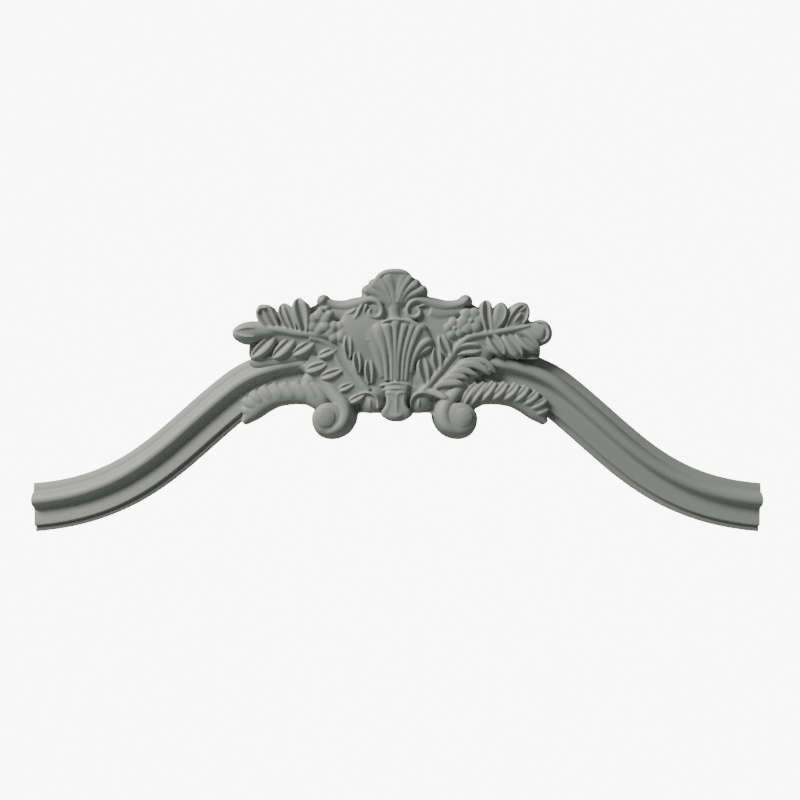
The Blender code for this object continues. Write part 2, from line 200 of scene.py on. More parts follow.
print("carving the plate")
plates = {                         # outlines: x, y. Rows: x, y, half width, height of the crown
    "ground": 18,                  # height
    "outline": [(-9, -36.4), (16, -36.4), (30, -36.4), (44, -36.4), (52, -44), (66, -46), (88, -32),
                (103, -12), (107, 6), (112, 25), (128, 31), (150, 31), (178, 31), (178, 47), (172, 62), (164, 84),
                (150, 86), (142, 90), (122, 94), (104, 95), (96, 99), (84, 104), (60, 103), (40, 106), (20, 108),
                (-9, 110)],
    "cheek": {1: [(30, 96, 14, 24), (42, 86, 18, 24.8), (53, 74, 19, 25), (58, 62, 18, 24.8), (54, 48, 16, 24.4),
                  (46, 34, 14, 23.6), (38, 20, 12, 22.6), (31, 8, 10, 21.4), (27, -2, 8, 20.4)],
              -1: [(30, 96, 14, 26), (35, 84, 26, 27.6), (37, 70, 31, 28.8), (37, 56, 29, 28.4), (33, 44, 23, 27),
                   (28, 32, 17, 25.2), (24, 20, 14, 23.8), (21, 8, 12, 22.4), (19, -6, 10, 21)]},
    "leafBlock": [(104, 60), (116, 46), (130, 38), (148, 32), (170, 30), (179, 33), (179, 47), (174, 62),
                  (162, 80), (140, 88), (118, 90), (108, 80)],
    "leafBlockHeight": 23.4,
    "bed": {1: [(34, -10, 12, 21), (43, 1, 14, 21.6), (54, 17, 15, 22), (67, 36, 17, 22.6), (84, 54, 17, 23.4),
                (104, 60, 16, 24.4), (124, 62, 14, 25), (146, 65, 13, 25.4), (164, 66, 10, 25)],
            -1: [(36, -12, 14, 21), (46, 0, 17, 21.6), (58, 15, 20, 22), (72, 34, 22, 22.6), (86, 50, 20, 23.4),
                 (104, 56, 18, 24.4), (124, 60, 16, 25), (146, 64, 14, 25.4), (164, 66, 10, 25)]},
    "leftLeafBed": [(42, -15, 9, 22.6), (54, -11, 11, 23.4), (66, -1, 12, 23.6), (80, 10, 12, 23.6),
                    (94, 20, 12, 23.4), (107, 28, 10, 22.6)],
    "leftApron": [(100, 42, 10, 22), (116, 36, 10, 22.4), (134, 31.6, 10, 22), (152, 28, 9, 21.4),
                  (168, 26, 8, 20.4), (179, 28, 4, 18)],
}
for side in (1, -1):
    carve(carving, plates["cheek"][side], dish, side)
    plate(carving, plates["outline"], plates["ground"], side, 3)
    plate(carving, plates["leafBlock"], plates["leafBlockHeight"], side, 3)
    carve(carving, plates["bed"][side], dish if side > 0 else pillow, side)
carve(carving, plates["leftApron"], pillow, -1)
carve(carving, plates["leftLeafBed"], dish, -1)

print("carving the shells")
shells = {                         # rows: x, y, half width, height of the crown. Knobs: x, y, radius, top
    "neck": [(0, 78, 11, 27), (0, 86, 10, 27), (0, 94, 10, 28), (0, 102, 15, 28)],
    "topFan": [(0, 92, 8, 26), (0, 98, 14, 28), (0, 104, 26, 29), (0, 110, 33.5, 29.6), (0, 118, 31, 30.4),
               (0, 126, 25, 31.6), (0, 132, 19, 32.4), (0, 136, 14, 32.8), (0, 138.6, 9, 30), (0, 139.8, 5, 20)],
    "topSkirt": [(0, 100, 30, 21), (0, 107, 40, 21), (0, 114, 40, 21), (0, 120, 37, 21), (0, 128, 32, 21),
                 (0, 134, 23, 21), (0, 138, 17, 20), (0, 140.6, 11, 18), (0, 142, 7, 12)],
    "topCentre": ([(-0.6, 97, 2.6, 28.3), (-1, 108, 3.4, 30.4), (-3, 118, 4.6, 31.8), (-6, 127, 6.4, 33),
                   (-8, 132.6, 7, 33.4)],
                  [(1, 97, 2.6, 28.3), (2.6, 106, 3, 30), (5.4, 117, 3.6, 31.4), (9, 126, 5.4, 32.6),
                   (10.6, 132, 6, 33)]),
    "topRim": [(-24, 125, 3, 30), (-18.4, 131.4, 3.6, 32.4), (-11, 135.6, 3.8, 33.6), (0, 137.2, 3.8, 34),
               (10.4, 136, 3.8, 33.6), (17.4, 132, 3.6, 32.4)],
    "topRibs": ([(4, 99, 2.4, 28.8), (7.4, 110, 3.2, 30.4), (12, 120, 3.8, 31.8), (19, 129.6, 4, 32),
                 (21.4, 132, 3.4, 30)],
                [(7.4, 98, 2.4, 28), (10.8, 107.4, 3, 29.6), (17.4, 116, 3.6, 31), (26, 122.4, 4.4, 31.4),
                 (30, 124.4, 3.6, 29)],
                [(11, 99.4, 2.6, 27.4), (17.4, 107.2, 3.2, 29), (26.6, 112, 3.6, 30.2), (35, 115.8, 4.2, 30),
                 (39, 116.4, 3, 27.6)]),
    "topRibLift": 1, "leftTopRibsLower": 1.2,
    "topKnobs": ((25, 122.5, 9, 31.5), (33, 115, 9, 30.5), (33.5, 110, 8, 27)),
    "leftMarks": ([(-26, 64, 1.4, 29.4), (-25.2, 67.6, 1.8, 30.4), (-27, 70.4, 1.4, 29.4)],
                  [(-28, 52, 1.6, 28.4), (-32.6, 53.4, 2, 29.2), (-37, 56.4, 1.6, 28.2)]),
    "bowl": [(8, -2, 15, 21.6), (8, 10, 15, 23.2), (8, 25, 17.5, 25.4), (8, 34, 23, 26.8), (8, 42, 35, 28),
             (8, 50, 40, 29), (8, 60, 37, 30.2), (8, 68, 31, 31.4), (8, 74, 23, 32.2), (8, 78, 14, 31.6),
             (8, 80, 6, 27)],
    "neckBed": [(0, 76, 20, 24.4), (0, 86, 20, 24.4), (0, 96, 20, 25), (0, 104, 20, 25.4)],
    "bowlRim": [(-15, 75, 1.6, 33), (-8, 77.4, 2, 34.6), (1.6, 78.4, 2.2, 35), (11, 77.4, 2, 34.6),
                (18, 75, 1.6, 33)],
    "rightRibs": ([(-3, 4, 2.2, 24.4), (-3.2, 30, 2.8, 28.4), (-5, 48, 3.6, 31.2), (-7.4, 64, 4.4, 33.4),
                   (-8.8, 71, 4.6, 34), (-8.8, 74.6, 3, 31.6)],
                  [(1, 3, 2.2, 24.2), (1.2, 30, 2.6, 28.4), (1.4, 48, 3, 31), (1.6, 64, 3.4, 33.2),
                   (1.8, 73, 5, 34.8), (1.8, 77.4, 6, 34)],
                  [(4.2, 4, 2, 24.4), (5, 30, 2.4, 28.4), (7.4, 48, 3.2, 31), (10.4, 63, 3.8, 33.2),
                   (12.4, 71, 4.4, 34), (12.6, 74.6, 3, 31.6)],
                  [(9.4, 4, 2, 23.8), (11, 27, 2.2, 27.4), (13.8, 44, 2.8, 30.2), (18.4, 60, 3.4, 32.4),
                   (21.6, 69.4, 3.8, 32.8), (23.4, 74, 3, 30.8)],
                  [(14, 4, 2.2, 23.6), (17.2, 32, 2.8, 28.2), (22.4, 50, 3.6, 31.2), (27.4, 63, 4.4, 32.4),
                   (32.6, 69, 4, 31.6), (38, 66.6, 3.2, 29.6)],
                  [(20, 14, 2.2, 24.2), (23, 28, 2.8, 26.6), (28, 40, 3.4, 29.2), (34.6, 48.4, 4, 30.6),
                   (41.4, 52.4, 4, 30.6), (46, 50, 2.8, 28.6)],
                  [(28, 34, 2, 26), (35, 39.4, 2.6, 28), (41.6, 43.6, 2.8, 28.8), (46.4, 45.6, 1.8, 27)]),
    "leftRibs": ([(-9.2, 4, 2.4, 23.8), (-10.4, 26, 3, 27.4), (-13, 44, 4.4, 30.2), (-17.4, 60, 6, 32),
                  (-20, 69, 5.6, 31.6), (-20.6, 74, 4, 29.2)],
                 [(-15, 8, 4, 23.4), (-17, 24, 4.6, 26), (-21, 42, 6.6, 28.6), (-27, 57, 8, 29.4),
                  (-31.4, 66, 7, 29), (-34, 70, 5, 27.4)],
                 [(-19, 12, 4, 22), (-23, 30, 5, 24), (-29, 42, 5, 25.4), (-35, 48.4, 4, 26.4),
                  (-40, 48, 3, 26.4)]),
    "collars": ([(-18, -2.8, 2, 24), (-12, -1, 2.4, 27), (-4, 0.4, 2.8, 29), (1, 0.8, 3, 29.4), (6, 0.4, 2.8, 29),
                 (14, -1, 2.4, 27), (20, -2.8, 2, 24)],
                [(-14, -7.4, 2.6, 26), (-8, -6.4, 3, 29), (1, -6, 3.4, 30.4), (10, -6.4, 3, 29),
                 (16.6, -7.4, 2.6, 26)]),
    "drop": [(2.4, -2, 15, 28), (2.4, -10, 14, 29), (2.4, -18, 12.8, 29.4), (2.4, -25, 12.6, 29.4),
             (2.4, -31, 15.6, 29.6), (2.4, -35.6, 19, 29.6), (2.4, -39.6, 18.4, 29), (2.4, -43, 14, 28),
             (2.4, -45.6, 9, 26), (2.4, -46.8, 4, 22)],
    "dropFolds": ([(-10.4, -12, 2, 29), (-5.4, -11, 2.2, 30), (-1.6, -13, 2, 30.4), (1.4, -16.6, 1.6, 30)],
                  [(12.8, -12, 2, 29), (8, -11, 2.2, 30), (4, -13, 2, 30.4), (1.4, -16.6, 1.6, 30)],
                  [(2.4, -12, 2.6, 30), (2.6, -20, 3, 30.4), (2.6, -30, 3.2, 30.4), (2.4, -40, 3.4, 30)],
                  [(-7.6, -13, 2.6, 28.6), (-6.4, -20, 3.2, 29.4), (-7.6, -28, 3.4, 29.6), (-12, -35, 3.4, 29.4),
                   (-14.6, -39, 2, 27)],
                  [(11.2, -13, 2.6, 28.6), (10.4, -20, 3.2, 29.4), (11.6, -28, 3.4, 29.6), (16, -35, 3.4, 29.4),
                   (18.6, -39, 2, 27)],
                  [(-6, -33, 2, 28.6), (-3.6, -37.4, 3.2, 30), (2.4, -39.6, 4, 30.6), (8.4, -37.4, 3.2, 30),
                   (11, -33, 2, 28.6)]),
}
carve(carving, shells["drop"], dish)
for rows in shells["dropFolds"]:
    carve(carving, rows, faintRib)
carve(carving, shells["topSkirt"], halfRound)
carve(carving, shells["topFan"], dish)
for rows in (*shells["topCentre"], *shells["rightRibs"], *shells["leftRibs"], *shells["leftMarks"]):
    carve(carving, rows, faintRib)
carve(carving, shells["topRim"], softRib)
carve(carving, shells["neckBed"], dish)
carve(carving, shells["neck"], pillow)
carve(carving, shells["bowlRim"], softRib)
carve(carving, shells["bowl"], dish)
for collar in shells["collars"]:
    carve(carving, collar, halfRound)
for side in (1, -1):
    for rib in shells["topRibs"]:
        rows = [(x, y, half, crown + shells["topRibLift"] - shells["leftTopRibsLower"] * (side < 0))
                for x, y, half, crown in rib]
        carve(carving, rows, faintRib, side)
    for x, y, radius, top in shells["topKnobs"]:
        button(carving, x, y, radius, top, top, side)

print("carving the scrolls")
scrolls = {                        # beds, feet and caps: x, y, radius, top, depth
    "arm": [(85, 99.6, 8, 27.6), (74, 96.2, 9, 26.6), (61, 95, 10.4, 27), (49, 97.2, 11, 28), (38, 101, 9, 29),
            (28, 102.6, 6.6, 29.6), (20, 99.4, 5.8, 30), (15.6, 92, 5.2, 30), (17, 84.6, 4.8, 29.6),
            (23, 81.4, 4.6, 29.4), (29.4, 83.4, 4.6, 29.6), (31.4, 88.6, 4, 29.4), (28.6, 92, 3.2, 28)],
    "armFlank": [(86, 93, 6, 23), (78, 90, 9, 24.6), (66, 87.6, 11, 25.4), (54, 87, 12, 26.4), (44, 90, 11, 27)],
    "armKnob": (88.2, 102.4, 9.2, 31),
    "armTongue": [(42, 95.6, 1.6, 27), (36, 96.2, 2.2, 28), (30, 94.6, 2.2, 28), (26.4, 91, 1.8, 27)],
    "armLeavesLeft": ([(39, 98, 2.6, 29), (43, 91.4, 3.6, 30), (45.6, 85, 3.6, 29.6), (50, 79.6, 3, 28.6),
                       (57, 77.4, 2, 26)],
                      [(33.6, 97, 1.8, 30), (36.4, 92, 2.2, 30), (37, 86, 1.6, 28)],
                      [(48, 92, 3, 28.6), (52.6, 88, 3.6, 28.8), (58, 86.4, 3, 27.6), (62, 87, 2, 25)]),
    "limb": [(134, 24.5, 9, 19), (124, 25, 10, 20), (112, 22.5, 11, 21), (98, 13, 12, 21.6), (85, 0, 13, 24.6),
             (73.4, -14, 14, 28.6), (64, -26, 15, 32), (60.6, -38, 15, 34), (64.4, -49.4, 14, 34.6),
             (72.6, -56, 12.6, 34), (82, -58.4, 10.8, 32.4), (90.4, -55.4, 9.4, 29), (96, -48.4, 7.4, 24),
             (97.6, -40.6, 6, 20), (95.4, -33, 5, 17)],
    "voluteBed": (81, -45, 20, 30.6, 40),
    "voluteCap": (80.6, -43, 20, 33.9, 5),
    "eye": (85, -41), "eyeRadius": {1: 10.4, -1: 11.8}, "eyeHeight": {1: 34.5, -1: 35.4}, "eyeRoll": 1.6,
    "eyeCapInset": 0.8, "eyeCapRise": 0.9, "eyeCapDepth": 2.4,
    "tieBed": (30, -22, 15, 22.8, 8),
    "tieFoot": (22, -9, 12, 21.6, 6),
    "limbFoot": {1: (63, -5, 14, 22.8, 6), -1: (104, 4, 11, 21, 6)},
    "blockFoot": (107, 39, 15, 24.4, 7), "flowerBed": (84, 82, 13, 25.4, 7),
    "curlBed": (25, 91, 11, 27, 6),
    "tie": [(42, -12, 3, 24.4), (34, -11, 3.4, 25.6), (27.4, -12.6, 3.6, 26), (22, -17, 3.4, 26),
            (20, -24, 3, 25), (20.6, -31, 2.4, 23)],
    "tieCurl": [(30.6, -19.4, 2.4, 24.4), (30, -24, 2.6, 24.8), (29.6, -29, 2.2, 23)],
    "border": [(84, -32, 7, 22.6), (94, -21, 12, 24.4), (106, -13, 13.6, 24.4), (120, -11, 14, 23.8),
               (135, -12, 14, 23.4), (150, -16, 13.5, 22.8), (164, -24, 13, 21.8), (177, -36, 10.5, 20.6),
               (188, -48.5, 4, 17)],
    "borderLobes": ([(82, -31, 3, 22), (87, -20, 4, 26.4), (94, -9, 4.4, 26.4), (102.5, 0, 3.6, 24)],
                    [(91, -29, 3, 21.4), (98, -18, 4.2, 27), (105, -8.5, 4.8, 26.8), (112.5, 1, 3.8, 24)],
                    [(102, -24.5, 3, 20.6), (109.5, -16.5, 4.4, 26.6), (117, -8, 5, 26.8), (124, 1.8, 3.8, 24)],
                    [(115, -20.5, 3, 20.4), (124, -15, 4.4, 26.2), (131.5, -8.4, 5, 26.4), (138.5, 1, 3.8, 23.6)],
                    [(129, -19.5, 3, 20), (138, -15.4, 4.4, 25.8), (146, -9, 5, 26), (152, -0.4, 3.8, 23)],
                    [(142, -21.5, 3, 19.6), (151.5, -17.4, 4.4, 25.2), (159, -11, 5, 25.4),
                     (164.5, -3.4, 3.8, 22.6)],
                    [(154.5, -25.5, 3, 19.2), (164, -21.5, 4.2, 24.6), (172, -16, 4.8, 24.6),
                     (177, -9.6, 3.6, 22)],
                    [(163.5, -30.5, 2.8, 18.6), (172.5, -27.4, 4, 23.8), (181, -23.6, 4.2, 23.6),
                     (187.4, -18.6, 3, 21)],
                    [(172, -37, 2.6, 18), (179, -34.8, 3.4, 22.6), (185.6, -32.4, 3.4, 22),
                     (190, -29.6, 2.2, 19.6)]),
    "lobeWidening": 1.32, "lobeLift": 0.4, "leftLobesLower": 2.8,
}
for side in (1, -1):
    carve(carving, scrolls["arm"], halfRound, side)
    carve(carving, scrolls["armFlank"], pillow, side)
    x, y, radius, top = scrolls["armKnob"]
    button(carving, x, y, radius, top, top, side, 28)
    carve(carving, scrolls["armTongue"], ridged, side)
    carve(carving, scrolls["limb"], drafted, side, 7)
    button(carving, *scrolls["voluteBed"], side, 32)
    button(carving, *scrolls["voluteCap"], side, 32)
    (x, y), radius, height = scrolls["eye"], scrolls["eyeRadius"][side], scrolls["eyeHeight"][side]
    turns = [k * math.pi / 6 for k in range(12)]
    around = [(x + math.cos(turn) * radius, y + math.sin(turn) * radius) for turn in turns]
    plate(carving, around, height, side, 3, scrolls["eyeRoll"])
    button(carving, x, y, radius - scrolls["eyeCapInset"], height + scrolls["eyeCapRise"],
           scrolls["eyeCapDepth"], side, 28)
    for spot in (scrolls["tieBed"], scrolls["tieFoot"], scrolls["limbFoot"][side], scrolls["curlBed"]):
        button(carving, *spot, side)
    carve(carving, scrolls["tie"], halfRound, side)
    carve(carving, scrolls["tieCurl"], halfRound, side)
    carve(carving, scrolls["border"], pillow, side)
    for lobe in scrolls["borderLobes"]:
        rows = [(x, y, half * scrolls["lobeWidening"],
                 crown + scrolls["lobeLift"] - scrolls["leftLobesLower"] * (side < 0))
                for x, y, half, crown in lobe]
        carve(carving, rows, cleft if side > 0 else lowRib, side)
button(carving, *scrolls["blockFoot"])
button(carving, *scrolls["flowerBed"], -1)
for rows in scrolls["armLeavesLeft"]:
    carve(carving, rows, ridged, -1)

print("carving the sprigs")
sprigs = {                         # leaves: base, tip, width, bend, height. The rest are rows, as before
    "rightStem": [(33, -11, 5, 24), (39, -5, 5, 24.4), (46.4, 4, 5, 24.6), (56.4, 16.6, 5, 25.2),
                  (69.4, 33.4, 5, 26), (80, 48, 4.8, 26.8), (91, 56.6, 4.4, 27.4), (105, 60.4, 4.6, 28),
                  (119, 62.4, 4.6, 29), (134, 65, 4.4, 30), (150, 67.6, 3.6, 30.4), (166, 71, 2.6, 30.6)],
    "rightBand": [(38, -9, 5, 22.6), (50, -3, 5, 22.6), (60, 8, 5, 22.6), (70, 20, 5, 23), (80, 33, 4.6, 23),
                  (88, 46, 4, 23.4)],
    "rightInner": (((40, 0), (33.5, 34), 18, 2, 26.8), ((55, 14), (51.5, 46.5), 16, 2, 27.4),
                   ((69, 32), (56.5, 60.5), 16, 2.4, 28.4)),
    "rightOuter": ([(38, -9.6, 3, 24), (46, -10.4, 4.6, 26.4), (54, -13.2, 4.6, 29), (61, -16.4, 3.8, 31.6),
                    (67, -19, 2, 30.6)],
                   [(50, -5, 3, 24), (59, -0.6, 4.6, 26.4), (69, 1, 4.8, 28.6), (78, 0.6, 4.2, 29.4),
                    (85, -1, 2.6, 28)],
                   [(55, -1, 3, 24), (61, 4, 4, 26), (70, 8, 4.4, 27.8), (80, 9, 4.2, 28.6), (87, 7.4, 3.2, 28),
                    (91.6, 5.4, 2, 26)],
                   [(62, 5, 3, 24.4), (69, 11, 4, 26.4), (77, 15.4, 4.2, 28), (88, 15.6, 4.2, 28.6),
                    (97, 12.4, 3.4, 28.4), (104, 8.6, 2, 26)],
                   [(68, 10, 3, 24), (75, 17, 4.4, 26), (85, 22.4, 5, 27.6), (96, 23.6, 5, 28.4),
                    (106, 20, 4.6, 28.4), (114, 15, 3.8, 27.6), (119, 12.4, 2.2, 25)],
                   [(78, 24, 3.4, 24), (90, 28.6, 4, 26.4), (103, 29, 4, 27.4), (112, 26.6, 3.8, 27.8),
                    (119.4, 20.6, 3.4, 27.6), (124.6, 14, 2.2, 25)]),
    "rightSlotted": [(76, 37, 3.6, 25), (83, 41.4, 7, 27), (92, 43, 8.4, 28), (101, 43, 7.4, 28),
                     (107, 42.6, 3.4, 25)],
    "leftStem": [(32, -9, 5, 24), (38, -1, 4.2, 24), (47, 12, 3.8, 24), (55, 27, 3.6, 24.4), (62, 42, 3.6, 25),
                 (70, 53, 4, 26), (82, 59, 4.6, 27), (100, 60.4, 4.8, 27.8), (119, 61.6, 5, 28.6),
                 (136, 65, 5, 29.2), (152, 67, 4.4, 29.4), (166, 68, 3.4, 29)],
    "leftOuterStem": [(38, -9, 5, 23), (48, 0, 4.6, 23.4), (58, 11, 4.4, 23.6), (67, 23, 4.2, 23.8),
                      (73, 35, 4, 24), (79, 46, 4.2, 24.6), (90, 53, 4.6, 26), (104, 57, 5, 27.6)],
    "leftInner": (((30, 0), (31.5, 31), 14, -1, 27.4), ((44, 13), (46.5, 42), 12.5, -1, 28.4),
                  ((56.4, 31), (57, 61), 13, -1, 29.8)),
    "leftOuter": (((37, -13), (57, -23.5), 11.5, 1, 26.4), ((50, 0), (70, -8.6), 11, 1, 26.6),
                  ((65, 17), (92, 7), 14, 2, 27.2), ((84, 25), (110, 16), 15, 3, 27.2),
                  ((71, 43.4), (94.5, 33), 12.5, 2, 26.4), ((97, 54), (126.6, 35), 16, 3, 26.8),
                  ((122, 59.4), (150.6, 31.4), 18.5, 4, 27), ((147, 60.4), (176, 32.4), 19, 4, 27.2)),
}
carve(carving, sprigs["rightBand"], softRib)
carve(carving, sprigs["rightStem"], softRib)
carve(carving, sprigs["rightSlotted"], lipped)
for rows in sprigs["rightOuter"]:
    carve(carving, rows, fullLeaf)
carve(carving, sprigs["leftOuterStem"], softRib, -1)
carve(carving, sprigs["leftStem"], softRib, -1)
for side, name, section, turned in ((1, "rightInner", lipped, 1), (-1, "leftInner", lipped, 1),
                                    (-1, "leftOuter", bean, -1)):
    for base, tip, width, bend, crown in sprigs[name]:
        leaf(carving, base, tip, width, bend * turned, crown, section, side)

print("carving the sprays")
sprays = {                         # rows, as before, and one leaf: base, tip, width, bend, height
    "rightUpright": [(117.6, 61, 3.4, 28), (115.4, 70, 6.4, 29.6), (113.4, 82, 8, 30.4), (112.6, 92, 8.2, 30.6),
                     (112.8, 97.6, 7, 30), (113, 101, 5, 27.4), (113.2, 103.4, 2, 22)],
    "rightSecond": [(122, 64, 4, 28), (126, 74, 8, 30), (129.4, 84, 9.8, 31), (131, 92, 9, 30.8),
                    (131.6, 97.4, 6, 29.4), (131.8, 100.4, 2.4, 24)],
    "rightSecondLip": [(128, 70, 2, 30), (133.6, 78, 2.6, 32), (136.6, 86, 2.8, 32.6), (135.6, 93, 2.6, 32),
                       (131, 98, 1.8, 30)],
    "rightThird": [(138, 66, 6, 27), (145, 76, 11, 27.6), (152, 86, 13, 28), (158, 93, 10.4, 28),
                   (161.6, 96.6, 6, 27), (163.4, 98.6, 2, 23)],
    "rightThirdLip": [(137, 70, 3, 28.6), (141, 80, 3.2, 30), (147, 89.6, 3.4, 31), (154.6, 95.8, 3.4, 31),
                      (161.4, 95.4, 3.2, 31), (164, 88.4, 3.2, 31), (162.4, 80, 3, 30), (157.4, 74, 2.6, 28.6)],
    "rightThirdFold": [(153, 88, 1.6, 29.6), (158, 92, 2, 31), (162, 95, 1.8, 31)],
    "rightAlmond": ((146.6, 75), (156.6, 87.4), 7.6, 1, 31),
    "leftTipBody": [(142, 64, 6, 27), (152, 65, 9, 28.4), (164, 65, 12, 29.6), (176, 63.6, 14, 31),
                    (188, 62.4, 12.6, 31), (196, 62, 8.4, 29), (199.6, 62, 4.6, 25)],
    "rightTipBody": [(142, 64, 6, 27), (152, 65, 9, 28.4), (164, 65, 12, 29.6), (174, 63.6, 14, 31),
                     (181.6, 62, 13.6, 31.4), (184.6, 61.4, 12, 29.4)],
    "rightTipBed": (179.6, 62.6, 16, 25, 25),
    "rightTipLip": [(174, 76, 2.8, 29.6), (182, 74.6, 4.2, 31.6), (187.4, 69.4, 5, 32.2),
                    (189.2, 61.4, 5.4, 32.2), (186.6, 54.6, 5, 31), (179.6, 51, 4, 28.4)],
    "leftTipLips": ([(172, 68.4, 2, 31.4), (182, 68.4, 2.6, 32.8), (190, 66.6, 2.4, 32), (196, 63.6, 1.6, 29.6)],
                    [(172, 57.6, 2, 31.2), (182, 57.4, 2.8, 32.4), (190, 59.4, 2.4, 31.8), (196, 62, 1.6, 29.6)]),
    "rightLow": ([(115, 60, 4, 27), (120, 55, 8.6, 29.4), (126, 47, 10.6, 30.6), (131, 39.6, 8.4, 30),
                  (133, 35, 4, 27)],
                 [(135, 61, 5, 28), (140.6, 53, 9.4, 30.4), (147, 44, 10.2, 31), (152.4, 36.4, 8, 30),
                  (155, 31.4, 3.6, 26)],
                 [(151, 63, 6, 28), (158, 57, 10, 30.8), (166, 50, 11, 31.6), (173, 43.6, 8.4, 30.4),
                  (177, 39.4, 3.6, 26)]),
    "leftUpright": [(111, 62, 4, 28), (112, 72, 8, 30), (114.2, 84, 11, 31), (116.4, 94, 10.8, 31),
                    (117.6, 99.6, 8.4, 30), (118, 103.6, 5, 27), (118.2, 106.4, 2, 21)],
    "leftSecond": [(124, 64, 5, 28), (129, 75, 9, 30), (133.4, 86, 10.2, 31), (135.6, 93, 8.4, 30.4),
                   (136.4, 97.4, 5, 28), (136.8, 99.6, 2, 23)],
    "leftThird": [(146, 66, 7, 28), (153, 76, 10.8, 30.4), (159, 86, 12, 31.6), (163, 92, 9.6, 31),
                  (165, 95.4, 5.4, 28.4), (166, 97.4, 2, 24)],
    "leftThirdCurl": [(158, 92.6, 2, 32), (164.6, 92, 2.4, 33), (167.6, 87.6, 2, 32)],
}
spraySections = {"rightUpright": lipped, "rightSecond": fullLeaf, "rightThird": fullLeaf, "leftUpright": lipped,
                 "leftSecond": veined, "leftThird": veined}
for name, section in spraySections.items():
    carve(carving, sprays[name], section, 1 if name.startswith("right") else -1)
for name in ("rightSecondLip", "rightThirdLip", "rightThirdFold", "rightTipLip"):
    carve(carving, sprays[name], ridged)
leaf(carving, *sprays["rightAlmond"], ridged)
for rows, section in zip(sprays["rightLow"], (lipped, bean, lipped)):
    carve(carving, rows, section)
carve(carving, sprays["leftThirdCurl"], ridged, -1)
button(carving, *sprays["rightTipBed"])
carve(carving, sprays["rightTipBody"], pillow)
carve(carving, sprays["leftTipBody"], pillow, -1)
for rows in sprays["leftTipLips"]:
    carve(carving, rows, softRib, -1)

print("carving the flowers")
flowers = {
    "heads": (                     # side, x, y, radius, height, petals, first petal's angle
        (1, 94, 77.5, 16, 30, 6, 5), (1, 74, 68, 13, 28, 5, 28),
        (-1, 93, 75, 15, 30, 6, 30), (-1, 70.6, 64, 13.6, 28.8, 6, 0), (-1, 85, 88.4, 10, 27.8, 4, 20),
    ),
    "petalPlace": 0.6, "petalSize": 0.48, "heartSize": 0.28, "cushionSize": 0.98,       # shares of the radius
    "petalLower": 0.4, "petalDepth": 4, "heartDepth": 5, "cushionLower": 3.2, "cushionDepth": 14,
}
for side, x, y, radius, top, petals, first in flowers["heads"]:
    for k in range(petals):
        angle = math.radians(first + 360 * k / petals)
        button(carving, x + math.cos(angle) * radius * flowers["petalPlace"],
               y + math.sin(angle) * radius * flowers["petalPlace"], radius * flowers["petalSize"],
               top - flowers["petalLower"], flowers["petalDepth"], side, 16)
    if side > 0:                   # the left flowers are open in the middle
        button(carving, x, y, radius * flowers["heartSize"], top, flowers["heartDepth"], side, 14)
    button(carving, x, y, radius * flowers["cushionSize"], top - flowers["cushionLower"],
           flowers["cushionDepth"], side)

print("casting the crest")


def newPiece(name, mesh):
    made = bpy.data.objects.new(name, mesh)
    bpy.context.scene.collection.objects.link(made)
    return made


def applyModifiers(piece):
    bpy.context.view_layer.update()
    done = bpy.data.meshes.new_from_object(piece.evaluated_get(bpy.context.evaluated_depsgraph_get()))
    piece.modifiers.clear()
    piece.data = done


bmesh.ops.recalc_face_normals(carving, faces=carving.faces)
bmesh.ops.triangulate(carving, faces=[face for face in carving.faces if len(face.verts) > 4])
crestMesh = bpy.data.meshes.new("crest")
carving.to_mesh(crestMesh)
carving.free()
crestPiece = newPiece("crest", crestMesh)
joined = crestPiece.modifiers.new("joined", "REMESH")
joined.mode = "VOXEL"
joined.voxel_size = crest["voxel"]
applyModifiers(crestPiece)
cast = bmesh.new()
cast.from_mesh(crestPiece.data)
for k in range(crest["softening"]):
    bmesh.ops.smooth_vert(cast, verts=cast.verts, factor=0.5, use_axis_x=True, use_axis_y=True, use_axis_z=True)
cut = bmesh.ops.bisect_plane(cast, geom=cast.verts[:] + cast.edges[:] + cast.faces[:], clear_inner=True,
                             plane_co=(0, 0, crest["clear"]), plane_no=(0, 0, 1))["geom_cut"]
bmesh.ops.edgeloop_fill(cast, edges=[part for part in cut if isinstance(part, bmesh.types.BMEdge)])
bmesh.ops.transform(cast, verts=cast.verts, matrix=Matrix.Translation((crest["shift"], 0, 0))
                    @ Matrix.Rotation(math.pi / 2, 4, "X") @ Matrix.Diagonal((mm, mm, rise, 1)))
bmesh.ops.recalc_face_normals(cast, faces=cast.faces)
faceCount = sum(len(face.verts) - 2 for face in cast.faces)
cast.to_mesh(crestPiece.data)
cast.free()
fewer = crestPiece.modifiers.new("fewer", "DECIMATE")
fewer.ratio = min(1, crest["triangles"] / faceCount)
applyModifiers(crestPiece)
crestPiece.data.shade_smooth()
crestPiece.data.set_sharp_from_angle(angle=math.radians(crest["sharp"]))
keptCount = sum(len(face.vertices) - 2 for face in crestPiece.data.polygons)
print("crest:", faceCount, "triangles cast,", keptCount, "kept")

